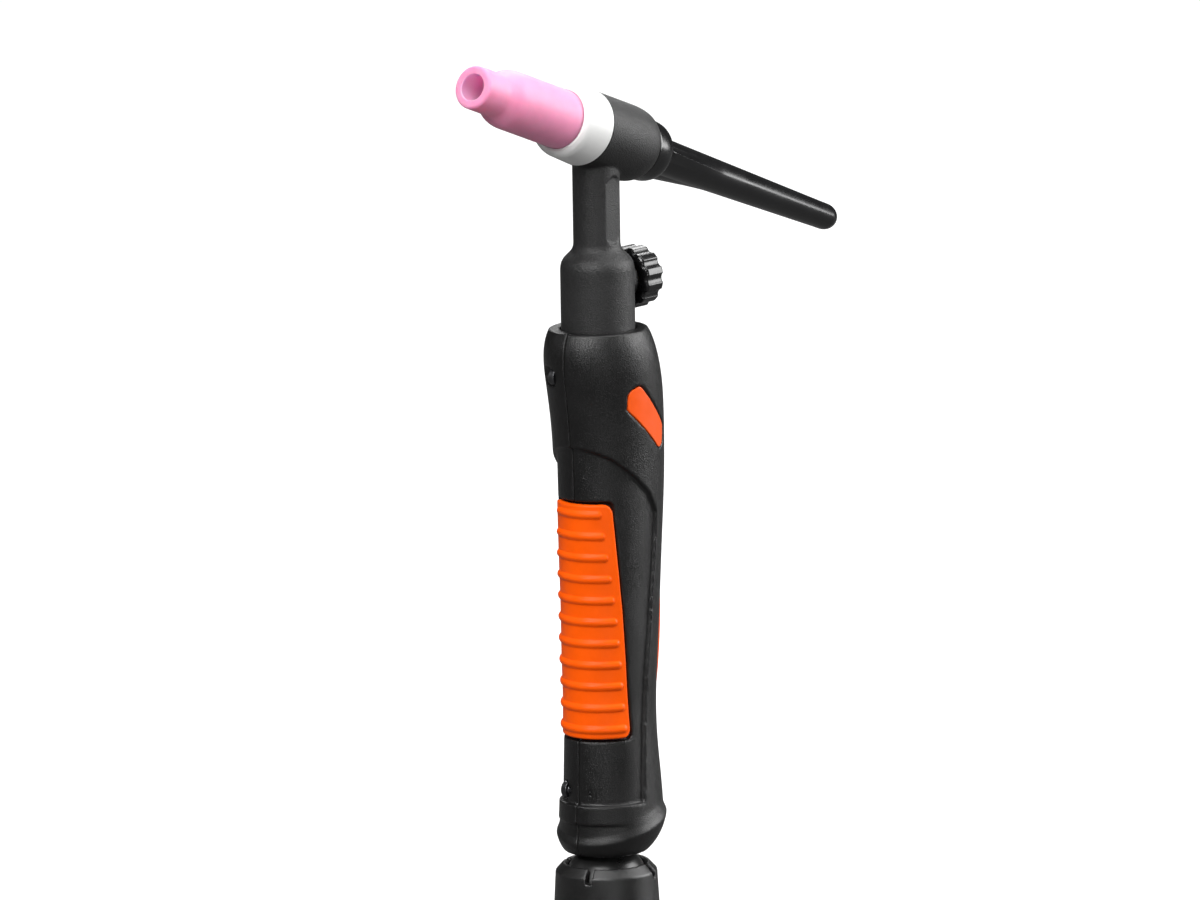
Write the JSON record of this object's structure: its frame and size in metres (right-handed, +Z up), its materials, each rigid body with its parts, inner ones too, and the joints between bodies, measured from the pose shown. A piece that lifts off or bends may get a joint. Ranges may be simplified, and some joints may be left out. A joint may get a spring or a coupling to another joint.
{
  "type": "tig torch",
  "caption": "Air-cooled TIG welding torch with angled head, gas valve knob, long back cap, two-shell grip and a ball-jointed cable cup.",
  "frame": {"origin": "centre of the mouth of the cable bore, at the bottom of the cable cup", "axes": "+Z up along the handle to the head, -Y is the side the gas nozzle points to, +Y the side of the back cap and valve knob, X across the handle"},
  "size_m": [0.0332, 0.1775, 0.2808],
  "materials": {
    "alumina": "satin pink fired alumina",
    "ptfe": "white turned fluoropolymer, satin",
    "silicone": "black moulded silicone rubber, fine grain",
    "phenolic": "glossy black phenolic",
    "knob_plastic": "glossy black moulded plastic",
    "shell_plastic": "black glass-filled nylon, fine spark texture",
    "grip_rubber": "orange soft elastomer, satin",
    "label": "orange inlay, plain",
    "cup_plastic": "black nylon, fine texture",
    "ball_plastic": "black acetal, smooth",
    "brass": "turned brass",
    "copper": "turned tellurium copper",
    "tungsten": "ground tungsten",
    "steel": "zinc-plated screw steel",
    "oring_rubber": "nitrile rubber"
  },
  "bodies": {
    "torch_body": {"handle_shell_left": "shell_plastic", "handle_shell_right": "shell_plastic", "handle_screws": "steel", "front_grip_pad": "grip_rubber", "rear_grip_pad": "grip_rubber", "label_plate_right": "label", "label_plate_left": "label", "head_insulator": "silicone", "head_core": "brass", "neck_tube": "copper", "valve_body": "brass", "valve_gland": "brass", "power_stud": "brass", "heat_shield": "ptfe", "collet_body": "copper", "collet": "copper"},
    "gas_nozzle": {"gas_nozzle": "alumina"},
    "electrode": {"tungsten_electrode": "tungsten"},
    "cap_slider": {"cap_oring": "oring_rubber"},
    "back_cap": {"back_cap": "phenolic", "cap_insert": "brass"},
    "stem_slider": {"stem_oring": "oring_rubber"},
    "valve_knob": {"valve_stem": "brass", "knob_insert": "brass", "valve_knob": "knob_plastic"},
    "swivel_ball": {"pivot_ball": "ball_plastic"},
    "cable_cup": {"cable_cup": "cup_plastic"}
  },
  "joints": [
    {"name": "valve_stem_lift", "type": "slide", "parent": "torch_body", "child": "stem_slider", "axis": [0, 1, 0], "range_m": [0, 0.0015]},
    {"name": "valve_knob_turn", "type": "hinge", "parent": "stem_slider", "child": "valve_knob", "pos_m": [0, 0.015, 0.208], "axis": [0, 1, 0], "range_deg": [0, 540]},
    {"name": "back_cap_off", "type": "slide", "parent": "torch_body", "child": "cap_slider", "axis": [0, 0.9397, -0.342], "range_m": [0, 0.13]},
    {"name": "back_cap_turn", "type": "hinge", "parent": "cap_slider", "child": "back_cap", "pos_m": [0, 0.02819, 0.24354], "axis": [0, 0.9397, -0.342], "continuous": true},
    {"name": "gas_nozzle_off", "type": "slide", "parent": "torch_body", "child": "gas_nozzle", "axis": [0, -0.9397, 0.342], "range_m": [0, 0.06]},
    {"name": "electrode_slide", "type": "slide", "parent": "torch_body", "child": "electrode", "axis": [0, -0.9397, 0.342], "range_m": [0, 0.02]},
    {"name": "ball_swivel", "type": "hinge", "parent": "torch_body", "child": "swivel_ball", "pos_m": [0, 0, 0.0245], "axis": [0, 0, 1], "continuous": true},
    {"name": "cup_tilt", "type": "hinge", "parent": "swivel_ball", "child": "cable_cup", "pos_m": [0, 0, 0.0245], "axis": [1, 0, 0], "range_deg": [-18, 18]}
  ],
  "couplings": [
    {"joint": "valve_knob_turn", "follows": "valve_stem_lift", "rad_per_m": 6283.2}
  ]
}
